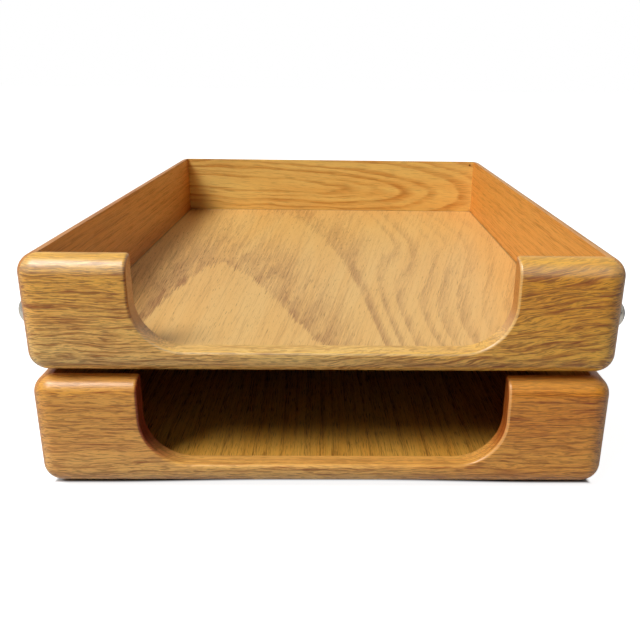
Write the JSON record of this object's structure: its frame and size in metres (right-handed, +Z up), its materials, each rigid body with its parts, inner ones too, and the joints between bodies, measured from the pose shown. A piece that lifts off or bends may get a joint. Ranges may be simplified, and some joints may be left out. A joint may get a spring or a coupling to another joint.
{
  "type": "document tray",
  "caption": "Stacked oak letter trays with rounded edges and a wide U-shaped cut-out in each front; the upper tray stands on the lower one's rim and lifts off.",
  "frame": {"origin": "middle of the footprint, on the surface that the lower tray's feet stand on", "axes": "+Z up, -Y towards the front with the cut-outs, +X to the right seen from the front"},
  "size_m": [0.2838, 0.362, 0.1164],
  "materials": {
    "oak_board": "solid oak, lacquered to a satin gloss",
    "oak_plywood": "oak-veneered plywood with cathedral grain, lacquered",
    "hardwood_spline": "plain hardwood, glued in",
    "block_wood": "plain wood, unfinished",
    "foot_rubber": "matt dark rubber",
    "stud_metal": "nickel-plated, bright"
  },
  "bodies": {
    "lower_tray": {"lower_front_board": "oak_board", "lower_back_board": "oak_board", "lower_left_side": "oak_board", "lower_right_side": "oak_board", "lower_floor_panel": "oak_plywood", "lower_front_left_spline": "hardwood_spline", "lower_front_left_block": "block_wood", "lower_front_left_foot": "foot_rubber", "lower_front_right_spline": "hardwood_spline", "lower_front_right_block": "block_wood", "lower_front_right_foot": "foot_rubber", "lower_back_left_spline": "hardwood_spline", "lower_back_left_block": "block_wood", "lower_back_left_foot": "foot_rubber", "lower_back_right_spline": "hardwood_spline", "lower_back_right_block": "block_wood", "lower_back_right_foot": "foot_rubber"},
    "upper_tray": {"upper_front_board": "oak_board", "upper_back_board": "oak_board", "upper_left_side": "oak_board", "upper_right_side": "oak_board", "upper_floor_panel": "oak_plywood", "upper_front_left_spline": "hardwood_spline", "upper_front_left_block": "block_wood", "upper_front_left_foot": "foot_rubber", "upper_front_right_spline": "hardwood_spline", "upper_front_right_block": "block_wood", "upper_front_right_foot": "foot_rubber", "upper_back_left_spline": "hardwood_spline", "upper_back_left_block": "block_wood", "upper_back_left_foot": "foot_rubber", "upper_back_right_spline": "hardwood_spline", "upper_back_right_block": "block_wood", "upper_back_right_foot": "foot_rubber", "upper_left_stud": "stud_metal", "upper_right_stud": "stud_metal"}
  },
  "joints": [
    {"name": "upper_tray_lift", "type": "slide", "parent": "lower_tray", "child": "upper_tray", "axis": [0, 0, 1], "range_m": [0, 0.08]}
  ]
}
